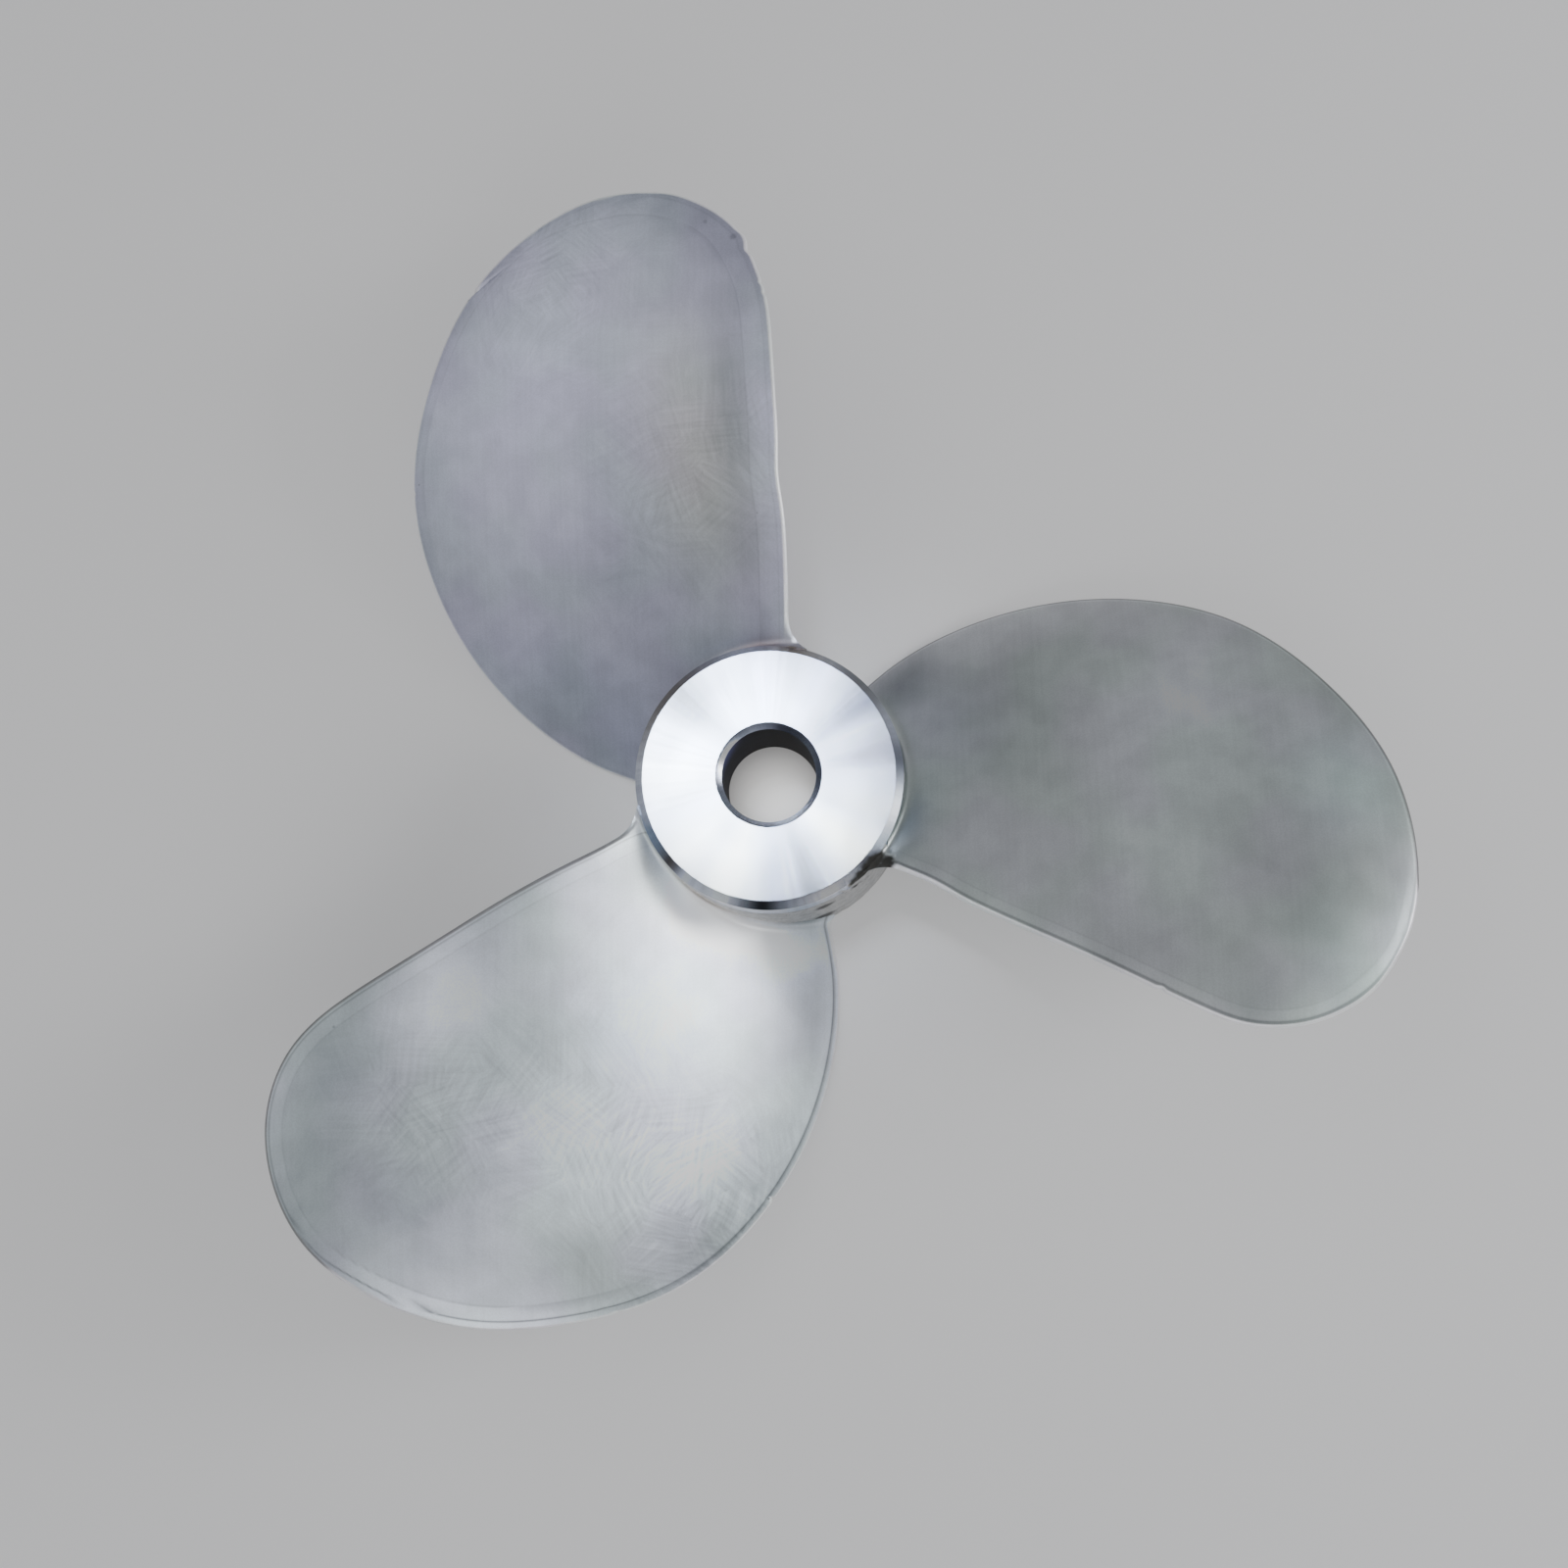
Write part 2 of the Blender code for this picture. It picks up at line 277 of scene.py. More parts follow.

# Painted reflections and shade round the chamfer of the hub, which end a little below it: degrees from +X,
# half width, tone
CHAMFER_TONES = [
    (118.0, 34.0, (0.42, 0.35, 0.25)),
    (60.0, 20.0, (0.52, 0.45, 0.35)),
    (22.0, 20.0, (0.34, 0.33, 0.30)),
    (-12.0, 12.0, (0.34, 0.34, 0.35)),
    (-38.0, 10.0, (1.35, 1.28, 1.12)),
    (-63.0, 4.0, 0.35),
    (277.0, 12.0, (1.80, 1.65, 1.45)),
    (247.0, 10.0, 0.06),
    (222.0, 13.0, (2.20, 2.00, 1.75)),
    (229.0, 2.5, 1.50),
    (221.0, 4.0, 0.70),
    (210.0, 2.5, 1.50),
    (201.0, 6.0, (0.34, 0.28, 0.23)),
    (188.0, 12.0, (0.50, 0.56, 0.62)),
]
CHAMFER_TONE_DEPTH = 0.0034
CHAMFER_TONE_FADE = 0.0004

# Reflections round the chamfer of the bore and down its wall: degrees from +X, half width, tone
BORE_TONES = [
    (60.0, 60.0, (0.16, 0.16, 0.18)),
    (-20.0, 34.0, (0.36, 0.37, 0.40)),
    (-100.0, 42.0, (2.10, 1.95, 1.70)),
    (165.0, 24.0, (0.55, 0.55, 0.56)),
]

# Gleam on the bore's wall near its mouth: degrees from +X, half width, tone
WALL_GLEAM = (135.0, 20.0, 14.0)
WALL_GLEAM_DEPTH = 0.010

# Small pits and specks in the blade fronts: blade, radius, degrees, size, darkness
PITS = [
    (0, 0.1477, -16.7, 0.0011, 0.30),
    (0, 0.1536, -13.9, 0.0008, 0.22),
    (0, 0.0705, -18.1, 0.0005, 0.60),
    (0, 0.1634, 11.6, 0.0006, 0.70),
    (0, 0.1362, 28.5, 0.0005, 0.60),
    (0, 0.1259, 31.0, 0.0005, 0.60),
    (1, 0.1121, 38.9, 0.0006, 0.60),
    (1, 0.1293, -18.6, 0.0005, 0.50),
]

# Mesh fineness
HUB_STEPS = 288
COLLAR_ROWS = 10
CAST_ROWS = 26
FACE_ROWS = 10
BORE_ROWS = 8
BLADE_ROWS = 150
ROW_SAMPLES = 4000
LAST_ROW = 0.997
CURVE_STEPS = 200
KNOT_POWER = 0.75
FLAT_COLUMNS = 44
RIM_COLUMNS = [0.0, 0.00006, 0.00021, 0.00043, 0.0006, 0.0008, 0.0010]
LINE_COLUMNS = [-0.0006, -0.0003, -0.00014, 0.0, 0.00014, 0.0003, 0.0006]
COLUMN_GAP = 0.00006
WIDEST_EDGE_SHARE = 0.3
LEAST_CROSSING = 0.2
SHARP_ANGLE = math.radians(34.0)
FACE_SLACK = 0.0001

# Where the rows of a blade lie closer: how much closer, and over which share of the edge
ROOT_ROWS = (4.5, 0.025)
TIP_ROWS = (2.5, 0.03)

# Rows at a dent: closest, length of a dent that doubles them, and how far beyond it they go
DENT_ROWS = (3.0, 0.004, 2.5)


def through_three(share, values):
    """Parabola over the span that takes three values, at the hub, the middle and the tip."""
    at_hub, at_middle, at_tip = values
    bend = 2.0 * (at_hub - 2.0 * at_middle + at_tip)
    return at_hub + (at_tip - at_hub - bend) * share + bend * share * share


def smooth_step(value, low, high):
    share = np.clip((value - low) / (high - low), 0.0, 1.0)
    return share * share * (3.0 - 2.0 * share)


def blend(first, second, share):
    return first + (second - first) * share


def window(value, low, high, soft):
    """One between two limits and zero outside them, with soft ends."""
    return smooth_step(value, low - soft, low + soft) * (1.0 - smooth_step(value, high - soft, high + soft))


def span_share(radius):
    return (radius - HUB_RADIUS) / (TIP_RADIUS - HUB_RADIUS)


def hub_radius(z):
    """Radius of the hub at a height: the turned collar, or the cast side, which widens to the rear."""
    depth = FACE_Z - z
    cast = HUB_RADIUS + HUB_DRAFT * np.clip(depth / HUB_LENGTH, 0.0, 1.0)
    step = smooth_step(depth, COLLAR_LENGTH - COLLAR_STEP, COLLAR_LENGTH + COLLAR_STEP)
    return blend(COLLAR_RADIUS, cast, step)


def blade_height(radius, angle):
    """Height of the blade's middle surface."""
    share = span_share(radius)
    crown = (radius * angle) ** 2 / (2.0 * CROWN_RADIUS)
    twist = through_three(share, PITCH) * angle / (2.0 * math.pi)
    return FACE_Z + through_three(share, RAKE) - twist - crown


def blade_slope(radius, angle):
    """Rise of the blade for each metre around the shaft."""
    twist = through_three(span_share(radius), PITCH) / (2.0 * math.pi * radius)
    return -twist - radius * angle / CROWN_RADIUS


def full_thickness(radius):
    """Thickness of the blade away from its edges."""
    return blend(ROOT_THICKNESS, TIP_THICKNESS, np.clip(span_share(radius), 0.0, 1.0))


def polar(radius, angle):
    return np.stack([radius * np.cos(angle), radius * np.sin(angle)], axis=-1)


def radius_and_angle(points):
    """Distance of each point from the shaft axis, and its angle from +X."""
    return np.linalg.norm(points[..., :2], axis=-1), np.arctan2(points[..., 1], points[..., 0])


def smooth_curve(knots, steps):
    """Curve through the knots whose bend changes evenly, as points, the knots included."""
    gaps = np.linalg.norm(np.diff(knots, axis=0), axis=1) ** KNOT_POWER
    count = len(knots)
    system, wanted = np.eye(count), np.zeros((count, 2))
    for i in range(1, count - 1):
        before, after = gaps[i - 1], gaps[i]
        system[i, i - 1:i + 2] = before, 2.0 * (before + after), after
        wanted[i] = 6.0 * ((knots[i + 1] - knots[i]) / after - (knots[i] - knots[i - 1]) / before)
    bends = np.linalg.solve(system, wanted)
    pieces = []
    for gap, first, last, first_bend, last_bend in zip(gaps, knots, knots[1:], bends, bends[1:]):
        t = np.linspace(0.0, gap, steps, endpoint=False)[:, None]
        rest = gap - t
        cubic = (first_bend * rest ** 3 + last_bend * t ** 3) / (6.0 * gap)
        straight = (first / gap - first_bend * gap / 6.0) * rest + (last / gap - last_bend * gap / 6.0) * t
        pieces.append(cubic + straight)
    return np.vstack(pieces + [knots[-1:]])


def edge_curves():
    """Plan curves of both edges, each from the hub to the tip."""
    shares, degrees = np.array(NEAR_EDGE + [TIP] + FAR_EDGE[::-1]).T
    knots = polar(HUB_RADIUS + shares * (TIP_RADIUS - HUB_RADIUS), np.radians(degrees))
    curve = smooth_curve(knots, CURVE_STEPS)
    tip = len(NEAR_EDGE) * CURVE_STEPS
    return {"near": curve[:tip + 1], "far": curve[tip:][::-1]}


def run_along(points):
    steps = np.linalg.norm(np.diff(points, axis=0), axis=1)
    return np.concatenate([[0.0], np.cumsum(steps)])


EDGES = edge_curves()
RUNS = {side: run_along(curve) for side, curve in EDGES.items()}


def dents_on(blade, side):
    """Dents of an edge as the run where each lies, its length and its depth."""
    radii = np.linalg.norm(EDGES[side], axis=1)
    found = []
    for dented_blade, dented_side, radius, length, depth in DENTS:
        if (dented_blade, dented_side) == (blade, side):
            found.append((RUNS[side][np.argmin(abs(radii - radius))], length, depth))
    return found


def row_shares(blade):
    """Shares of the run along the edges for the rows, closer at the root, the tip and the dents."""
    share = np.linspace(0.0, LAST_ROW, ROW_SAMPLES)
    (root, root_reach), (tip, tip_reach) = ROOT_ROWS, TIP_ROWS
    density = 1.0 + root * np.exp(-share / root_reach) + tip * np.exp(-(1.0 - share) / tip_reach)
    closest, doubling, reach = DENT_ROWS
    for side in ("near", "far"):
        for place, length, _ in dents_on(blade, side):
            total = RUNS[side][-1]
            extra = min(closest, doubling / length)
            density += extra * np.exp(-((share - place / total) / (reach * length / total)) ** 2)
    total = np.cumsum(density)
    total = (total - total[0]) / (total[-1] - total[0])
    return np.interp(np.linspace(0.0, 1.0, BLADE_ROWS), total, share)


def edge_rows(side, rows):
    """Plan points, unit directions along the edge and runs, for each row."""
    curve, run = EDGES[side], RUNS[side]
    at = rows * run[-1]
    points = np.stack([np.interp(at, run, curve[:, k]) for k in (0, 1)], axis=-1)
    along = np.gradient(curve, axis=0) / np.gradient(run)[:, None]
    along = np.stack([np.interp(at, run, along[:, k]) for k in (0, 1)], axis=-1)
    return points, along / np.linalg.norm(along, axis=1)[:, None], at


def edge_columns(blade, side):
    """Distances of the columns from an edge, close together at the line of each strip."""
    wanted = RIM_COLUMNS + [strip[0] + step for strip in STRIPS[blade, side] for step in LINE_COLUMNS]
    columns = []
    for column in sorted(wanted):
        if not columns or column - columns[-1] > COLUMN_GAP:
            columns.append(column)
    return np.array(columns)


def column_shares(blade, chord, crossing):
    """Shares of the chord for the columns of each row, set square to the edges."""
    sides = {}
    for side in ("near", "far"):
        wanted = edge_columns(blade, side)[None, :] / np.maximum(crossing[side], LEAST_CROSSING)[:, None]
        fit = np.minimum(1.0, WIDEST_EDGE_SHARE * chord / wanted[:, -1])
        sides[side] = fit[:, None] * wanted / chord[:, None]
    first, last = sides["near"][:, -1:], 1.0 - sides["far"][:, -1:]
    flat = first + (last - first) * np.linspace(0.0, 1.0, FLAT_COLUMNS + 1)[None, 1:-1]
    return np.hstack([sides["near"], flat, 1.0 - sides["far"][:, ::-1]])


def search_tree(points):
    tree = kdtree.KDTree(len(points))
    for index, point in enumerate(points):
        tree.insert(point, index)
    tree.balance()
    return tree


def outline_distance(points):
    """Distance of each point from the blade's outline in space."""
    outline = []
    for curve in EDGES.values():
        height = blade_height(*radius_and_angle(curve))
        outline += [Vector((x, y, z)) for (x, y), z in zip(curve, height)]
    tree = search_tree(outline)
    found = np.array([tree.find(point)[2] for point in points.reshape(-1, 3)])
    return found.reshape(points.shape[:-1])


def soft_rise(value, softness):
    """Zero below zero and equal to the value above it, with a small round between the two."""
    value = value - softness
    return 0.5 * (value + np.sqrt(value * value + softness * softness))


def strips_at(blade, across):
    """Numbers of the outer and the inner strip, going over from the near edge's to the far edge's."""
    side = smooth_step(across, *SIDE_BLEND)
    pairs = zip(STRIPS[blade, "near"], STRIPS[blade, "far"])
    return [[blend(a, b, side) for a, b in zip(near, far)] for near, far in pairs]


def front_offset(blade, from_edge, across):
    """How far the front stands off the middle surface: nearly flat, with ground strips at the edges."""
    drop, total = 0.0, 0.0
    for width, depth, softness, _, _ in strips_at(blade, across):
        drop = drop + depth * soft_rise(1.0 - from_edge / width, softness)
        total = total + depth
    curve = np.clip(1.0 - from_edge / FRONT_CURVE, 0.0, 1.0) ** 2
    return EDGE_THICKNESS / 2.0 + FRONT_RISE - drop - (FRONT_RISE - total) * curve


def back_offset(radius, from_edge):
    half = EDGE_THICKNESS / 2.0
    full = np.maximum(full_thickness(radius) - half - FRONT_RISE, half)
    curve = np.clip(1.0 - from_edge / BACK_CURVE, 0.0, 1.0) ** 2
    return blend(full, half, curve)


def fillet_reach(distance, fillet):
    """How far a root fillet stands out at a distance from the hub, meeting the hub at a small angle."""
    short = np.clip(1.0 - distance / fillet, 0.0, STEEPEST_FILLET)
    return fillet * (1.0 - np.sqrt(1.0 - short * short))


def waves(points, blade):
    """Gentle unevenness of the hand-ground front."""
    found = np.empty(points.shape[:-1])
    fine_share, fineness = FINE_WAVE
    for index in np.ndindex(found.shape):
        place = Vector(points[index]) / WAVE_LENGTH + Vector((0.0, 0.0, WAVE_SHIFT * blade))
        found[index] = noise.noise(place) + fine_share * noise.noise(fineness * place)
    return found


def dent_shift(blade, edges, from_edge, across):
    """Plan shift that the dents give to each point near an edge."""
    shift = 0.0
    for side, along, run in edges:
        turn = 1.0 if side == "near" else -1.0
        inward = turn * np.stack([-along[:, 1], along[:, 0]], axis=-1)
        here = (across < 0.5) if side == "near" else (across >= 0.5)
        for place, length, depth in dents_on(blade, side):
            push = depth * np.exp(-((run - place) / length) ** 2)
            reach = max(DENT_REACH, 2.0 * length)
            weight = push[:, None] * np.exp(-(from_edge / reach) ** 2) * here
            shift = shift + weight[..., None] * inward[:, None, :]
    return shift


def with_root(rows):
    """Rows with the first one repeated, for the row that is sunk into the hub."""
    return np.concatenate([rows[:1], rows])


def blade_line(blade):
    """Direction of a blade's line from +X."""
    return math.pi / 2.0 + blade * 2.0 * math.pi / BLADE_COUNT


def round_place(points, centre, half_width):
    """How near each point's direction from the shaft is to one in degrees: one there, zero far off."""
    away = np.degrees(radius_and_angle(points)[1]) - centre
    away = (away + 180.0) % 360.0 - 180.0
    return np.exp(-(away / half_width) ** 2)


def toned(colours, tone, weight):
    """Multiplies the colours by a tone, a colour or one number for grey, fully where the weight is one."""
    colours[..., :3] *= 1.0 + (np.array(tone) - 1.0) * weight[..., None]


def root_shade(points, gap):
    """Painted shade, and painted lightening, of the points at their distances from the groove between the
    hub and a blade's front.
    """
    level = np.ones(gap.shape + (3,))
    for centre, half_width, tone, reach in ROOT_SHADES:
        toned(level, tone, round_place(points, centre, half_width) * np.exp(-(gap / reach) ** 2))
    return level


def black_marks(points):
    """How far each point is covered by the black marks."""
    amount = np.zeros(points.shape[:-1])
    for radius, degrees, depth, size in MARKS:
        centre = np.append(polar(radius, math.radians(degrees)), FACE_Z - depth)
        away = np.linalg.norm(points - centre, axis=-1)
        amount = np.maximum(amount, np.exp(-(away / size) ** 2))
    return amount


def rim_cover(from_edge, from_hub):
    """How far each point belongs to the line of painted highlight and shade on the very edge."""
    return (1.0 - smooth_step(from_edge, 0.6 * RIM_WIDTH, RIM_WIDTH)) * smooth_step(from_hub, *RIM_FADE)


def edge_tone(blade, from_edge, across):
    """Painted highlight and shade of the ground strips and of the lines between them."""
    outer_strip, inner_strip = strips_at(blade, across)
    outer, _, _, outer_tone, outer_line = outer_strip
    inner, _, _, inner_tone, inner_line = inner_strip
    level = blend(inner_tone, 1.0, smooth_step(from_edge, inner - STRIP_LINE, inner + STRIP_LINE))
    level = blend(outer_tone, level, smooth_step(from_edge, outer - STRIP_LINE, outer + STRIP_LINE))
    for width, line in ((outer, outer_line), (inner, inner_line)):
        level = level * (1.0 + (line - 1.0) * np.exp(-((from_edge - width) / STRIP_LINE) ** 2))
    return level


def blade_finish(blade, points, from_edge, across, from_hub, side):
    """Tone with painted highlights, reflections and shade, dark marks of dirt and painted shadow, strokes
    and polish of the points of one side of a blade, its line along +X.
    """
    radius, angle = radius_and_angle(points)
    turned = points.copy()
    turned[..., :2] = polar(radius, angle + blade_line(blade))
    finish = np.zeros(radius.shape + (6,))
    # Each blade's tone, partly painted reflection colour
    finish[..., :3] = BLADE_TONES[blade]
    finish[..., 4] = STROKE_SHARES[blade]
    if side == "front":
        # Patches of real tint and of painted highlight, reflection and shade
        for place, patch_radius, degrees, outward, sideways, tone in TINT_AND_LIGHT_PATCHES:
            if place == blade:
                across_patch = radius * (angle - math.radians(degrees))
                weight = np.exp(-((radius - patch_radius) / outward) ** 2 - (across_patch / sideways) ** 2)
                toned(finish, tone, weight)
        for place, zone_radius, degrees, size in STROKE_ZONES:
            if place == blade:
                away = (radius - zone_radius) ** 2 + (radius * (angle - math.radians(degrees))) ** 2
                finish[..., 4] += (1.0 - STROKE_SHARES[blade]) * np.exp(-away / size ** 2)
        # Painted highlight and shade of the edge strips and their lines
        finish[..., :3] *= edge_tone(blade, from_edge, across)[..., None]
        # Painted shade along the groove at the hub
        finish[..., :3] *= root_shade(turned, from_hub)
    # Dark marks, partly dirt and partly painted shadow in the hub's corners
    finish[..., 3] = black_marks(turned)
    # Painted highlight along the very edge, and painted shade on the darker edges
    rim = blend(RIMS[blade, "near"], RIMS[blade, "far"], smooth_step(across, *SIDE_BLEND))
    cover = rim_cover(from_edge, from_hub)
    finish[..., :3] = blend(finish[..., :3], rim[..., None] * np.array(RIM_COLOUR), cover[..., None])
    centre, half_width, share, reach = DULL_ROOT
    dull = share * round_place(turned, centre, half_width) * np.exp(-(from_hub / reach) ** 2)
    finish[..., 5] = np.maximum(cover, dull)
    return finish


def hub_finish(points):
    """Tone with painted reflections and shade, dark marks of dirt and painted shadow, strokes and polish of
    the hub's points.
    """
    radius, angle = radius_and_angle(points)
    depth = FACE_Z - points[..., 2]
    finish = np.zeros(radius.shape + (6,))
    finish[..., :3] = 1.0
    side = (radius > FACE_RADIUS - EDGE_BREAK) & (depth > EDGE_BREAK / 2.0)
    face = blend(*FAN_SHARES, smooth_step(radius, BORE_RADIUS, FAN_RADIUS)) * (depth < EDGE_BREAK / 2.0)
    chamfer = side * smooth_step(CHAMFER_TONE_DEPTH - depth, -CHAMFER_TONE_FADE, CHAMFER_TONE_FADE)
    mouth = (radius < BORE_RADIUS + BORE_CHAMFER + EDGE_BREAK / 2.0) & (depth > EDGE_BREAK / 2.0)
    # Painted reflections and shade on the face, the chamfer and the bore's mouth
    for tones, share in ((FACE_REFLECTION_FANS, face), (CHAMFER_TONES, chamfer), (BORE_TONES, mouth)):
        for centre, half_width, tone in tones:
            toned(finish, tone, round_place(points, centre, half_width) * share)
    centre, half_width, gleam = WALL_GLEAM
    weight = round_place(points, centre, half_width) * (radius < BORE_RADIUS + EDGE_BREAK)
    toned(finish, gleam, weight * np.clip(1.0 - depth / WALL_GLEAM_DEPTH, 0.0, 1.0))
    for blade in range(BLADE_COUNT):
        local = (angle - blade_line(blade) + math.pi) % (2.0 * math.pi) - math.pi
        inside = (local > ROOT_LIMITS[0]) & (local < ROOT_LIMITS[1])
        front = blade_height(HUB_RADIUS, local) + EDGE_THICKNESS
        # The same painted shade on the hub's side beside each blade
        shade = root_shade(points, np.abs(points[..., 2] - front))
        finish[..., :3] *= np.where((inside & side)[..., None], shade, 1.0)
    # Dark marks, partly dirt and partly painted shadow in the hub's corners
    finish[..., 3] = black_marks(points)
    return finish


def blade_mesh(blade):
    """Vertices, faces and finish of one closed blade, its line along +X."""
    rows = row_shares(blade)
    near, near_along, near_run = edge_rows("near", rows)
    far, far_along, far_run = edge_rows("far", rows)
    near_r, near_a = radius_and_angle(near)
    far_r, far_a = radius_and_angle(far)
    chord = 0.5 * (near_r + far_r) * (far_a - near_a)
    crossing = {}
    for side, angle, along in (("near", near_a, near_along), ("far", far_a, far_along)):
        crossing[side] = abs(np.sin(angle) * along[:, 1] + np.cos(angle) * along[:, 0])
    across = column_shares(blade, chord, crossing)
    radius = with_root(near_r[:, None] + (far_r - near_r)[:, None] * across)
    radius[0] -= ROOT_DEPTH
    angle = with_root(near_a[:, None] + (far_a - near_a)[:, None] * across)
    across = with_root(across)
    height = blade_height(radius, angle)

    middle = np.dstack([polar(radius, angle), height])
    from_edge = outline_distance(middle)
    from_edge[:, 0] = 0.0
    from_edge[:, -1] = 0.0
    corner = np.clip(1.0 - from_edge / (EDGE_THICKNESS / 2.0), 0.0, 1.0)
    rounding = np.sqrt(1.0 - corner * corner)

    from_hub = radius - hub_radius(height)
    edge_fillet = blend(*EDGE_FILLETS, across)
    outward = np.where(across < 0.5, -1.0, 1.0) * corner * fillet_reach(from_hub, edge_fillet)
    front_fillet = blend(*FRONT_FILLETS[blade], across)
    front = front_offset(blade, from_edge, across) + fillet_reach(from_hub, front_fillet)
    wave_room = smooth_step(from_edge, *WAVE_FROM_EDGE) * smooth_step(from_hub, *WAVE_FROM_HUB)
    front += WAVINESS * waves(middle, blade) * wave_room
    back = back_offset(radius, from_edge) + fillet_reach(from_hub, BACK_FILLET)

    edges = [
        ("near", with_root(near_along), with_root(near_run)),
        ("far", with_root(far_along), with_root(far_run)),
    ]
    shift = dent_shift(blade, edges, from_edge, across)
    slope = blade_slope(radius, angle)
    length = np.sqrt(1.0 + slope * slope)
    highest = FACE_Z - FACE_CHAMFER_DEPTH + np.maximum(radius - HUB_RADIUS, 0.0)
    surfaces = []
    for rise in (front * rounding, -back * rounding):
        turn = (outward - slope * rise) / length
        climb = (outward * slope + rise) / length
        z = np.minimum(np.maximum(height + climb, REAR_Z + END_CLEARANCE), highest)
        plan = polar(radius, angle + turn / radius) + shift
        surfaces.append(np.dstack([plan, z]))
    finishes = [blade_finish(blade, middle, from_edge, across, from_hub, side) for side in ("front", "back")]
    rings = np.hstack([surfaces[0], surfaces[1][:, -2:0:-1]])
    finish = np.hstack([finishes[0], finishes[1][:, -2:0:-1]])
    verts, faces = lofted(rings, across.shape[1])
    return verts, faces, finish.reshape(-1, 6)


def lofted(rings, columns):
    """Vertices and faces around closed rings, with a strip of quads across each end."""
    rows, size = rings.shape[:2]
    faces = []
    for here in range(0, (rows - 1) * size, size):
        for i in range(size):
            j = (i + 1) % size
            faces.append((here + i, here + j, here + size + j, here + size + i))
    for here, flip in ((0, True), ((rows - 1) * size, False)):
        for i in range(columns - 1):
            corners = [here + i, here + i + 1]
            corners += [here + size - i - 1] if i < columns - 2 else []
            corners += [here + size - i] if i else []
            faces.append(tuple(reversed(corners)) if flip else tuple(corners))
    return rings.reshape(-1, 3), faces


def hub_profile():
    """Outline of the hub in the X-Z half plane, from the bore's mouth outward and round."""
    side = FACE_Z - COLLAR_LENGTH
    bore_end = FACE_Z - BORE_LENGTH
    mouth = BORE_RADIUS + BORE_CHAMFER
    outline = [(mouth, FACE_Z - EDGE_BREAK)]
    for radius in np.linspace(mouth + EDGE_BREAK, FACE_RADIUS - EDGE_BREAK, FACE_ROWS):
        outline.append((radius, FACE_Z))
    outline += [
        (FACE_RADIUS, FACE_Z - EDGE_BREAK),
        (COLLAR_RADIUS - EDGE_BREAK, FACE_Z - FACE_CHAMFER_DEPTH + EDGE_BREAK),
    ]
    for z in np.linspace(FACE_Z - FACE_CHAMFER_DEPTH, side, COLLAR_ROWS):
        outline.append((COLLAR_RADIUS, z))
    for z in np.linspace(side - COLLAR_STEP, REAR_Z + REAR_CHAMFER, CAST_ROWS):
        outline.append((float(hub_radius(z)), z))
    rear = float(hub_radius(REAR_Z))
    outline += [
        (rear - REAR_CHAMFER, REAR_Z),
        (RECESS_RADIUS + RECESS_CHAMFER, REAR_Z),
        (RECESS_RADIUS, REAR_Z + RECESS_CHAMFER),
        (RECESS_RADIUS, bore_end),
    ]
    for z in np.linspace(bore_end, FACE_Z - BORE_CHAMFER, BORE_ROWS):
        outline.append((BORE_RADIUS, z))
    return outline


def pad_cover(points):
    """How fully the rough pad covers each point of the hub's side."""
    radius, angle = radius_and_angle(points)
    depth = FACE_Z - points[..., 2]
    side = radius > COLLAR_RADIUS - COLLAR_STEP
    ragged = sum(size * np.sin(points[..., 2] / length) for size, length in PAD_RAGS)
    angle_fade, depth_fade = PAD_FADES
    cover = window(np.degrees(angle) + ragged, *PAD_ANGLES, angle_fade)
    return cover * window(depth, *PAD_DEPTHS, depth_fade) * side


def hub_mesh():
    """Vertices, faces and finish of the turned hub, its cast side and its pad a little rough."""
    profile = np.array(hub_profile())
    angles = np.linspace(0.0, 2.0 * math.pi, HUB_STEPS, endpoint=False)
    radius = np.repeat(profile[:, :1], HUB_STEPS, axis=1)
    z = np.repeat(profile[:, 1:], HUB_STEPS, axis=1)
    points = np.dstack([polar(radius, angles[None, :]), z])
    cover = pad_cover(points)
    depth = FACE_Z - profile[:, 1]
    cast = (profile[:, 0] > HUB_RADIUS) & (depth > COLLAR_LENGTH) & (depth < HUB_LENGTH - REAR_CHAMFER / 2.0)
    lift = PAD_HEIGHT * cover
    for row, i in np.ndindex(radius.shape):
        grain = CAST_GRAIN * cast[row] + PAD_GRAIN * cover[row, i]
        if grain > 0.0:
            place = Vector(points[row, i])
            lift[row, i] += grain * sum(share * noise.noise(place / size) for share, size in GRAIN_SIZES)
    points[..., :2] *= (1.0 + lift / radius)[..., None]
    rows = len(profile)
    faces = []
    for row in range(rows):
        here, below = row * HUB_STEPS, (row + 1) % rows * HUB_STEPS
        for i in range(HUB_STEPS):
            j = (i + 1) % HUB_STEPS
            faces.append((here + i, below + i, below + j, here + j))
    return points.reshape(-1, 3), faces, hub_finish(points).reshape(-1, 6)


def new_object(name, data):
    made = bpy.data.objects.new(name, data)
    bpy.context.scene.collection.objects.link(made)
    return made


def mesh_object(name, verts, faces):
    mesh = bpy.data.meshes.new(name)
    mesh.from_pydata([tuple(v) for v in verts], [], faces)
    mesh.validate()
    return new_object(name, mesh)


# Material slots of the casting
GROUND, CAST, TURNED, BORE = range(4)


